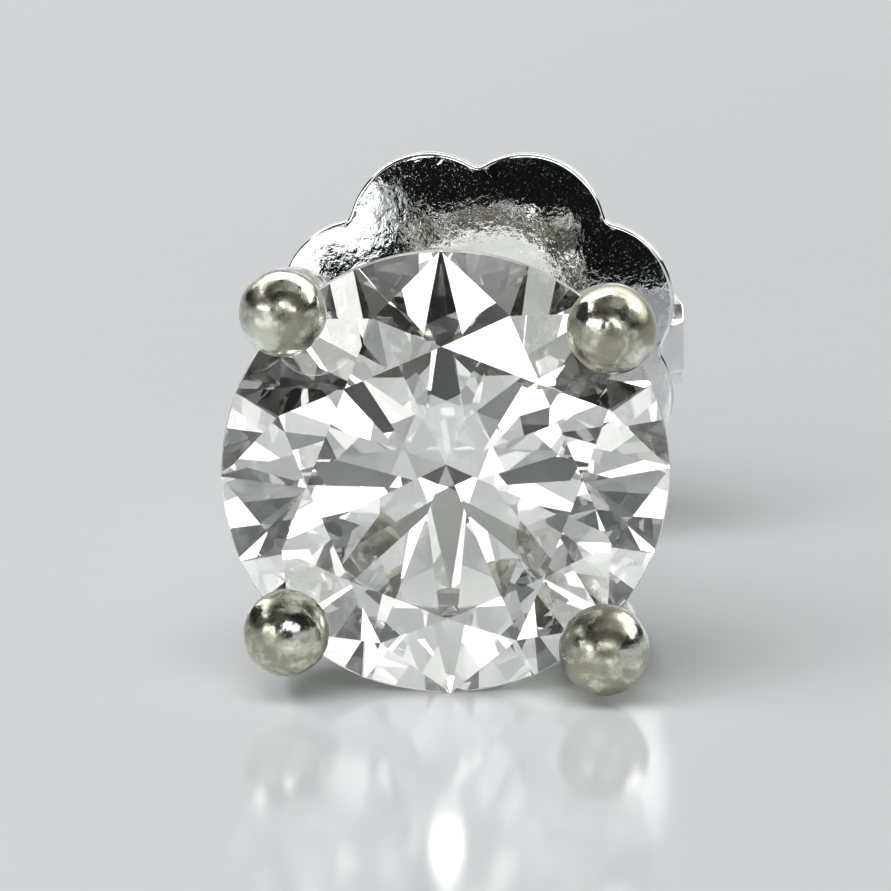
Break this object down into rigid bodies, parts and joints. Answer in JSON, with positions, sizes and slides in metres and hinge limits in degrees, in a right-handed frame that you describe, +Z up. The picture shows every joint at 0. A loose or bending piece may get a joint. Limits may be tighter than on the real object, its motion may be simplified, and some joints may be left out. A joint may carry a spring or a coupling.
{
  "type": "diamond stud earring",
  "caption": "Stud earring lying on its side: round brilliant stone in a pronged basket, straight post, and a friction back with a scalloped domed plate and rolled scrolls.",
  "frame": {"origin": "centre of the part's box, at the height of the surface that it lies on", "axes": "+Y from the stone towards the back, along the post, which slopes 0.8 degrees down to the back; +Z up; +X to the right as seen from the front of the stone"},
  "size_m": [0.0064, 0.0154, 0.0064],
  "materials": {
    "diamond": "gloss",
    "white_gold": "polished",
    "polished_back": "polished"
  },
  "bodies": {
    "stud": {"diamond": "diamond", "setting": "white_gold"},
    "back": {"earring_back": "polished_back"}
  },
  "joints": [
    {"name": "back_slide", "type": "slide", "parent": "stud", "child": "back", "axis": [0, 0.9999, -0.0141], "range_m": [-0.0065, 0.0033]}
  ]
}
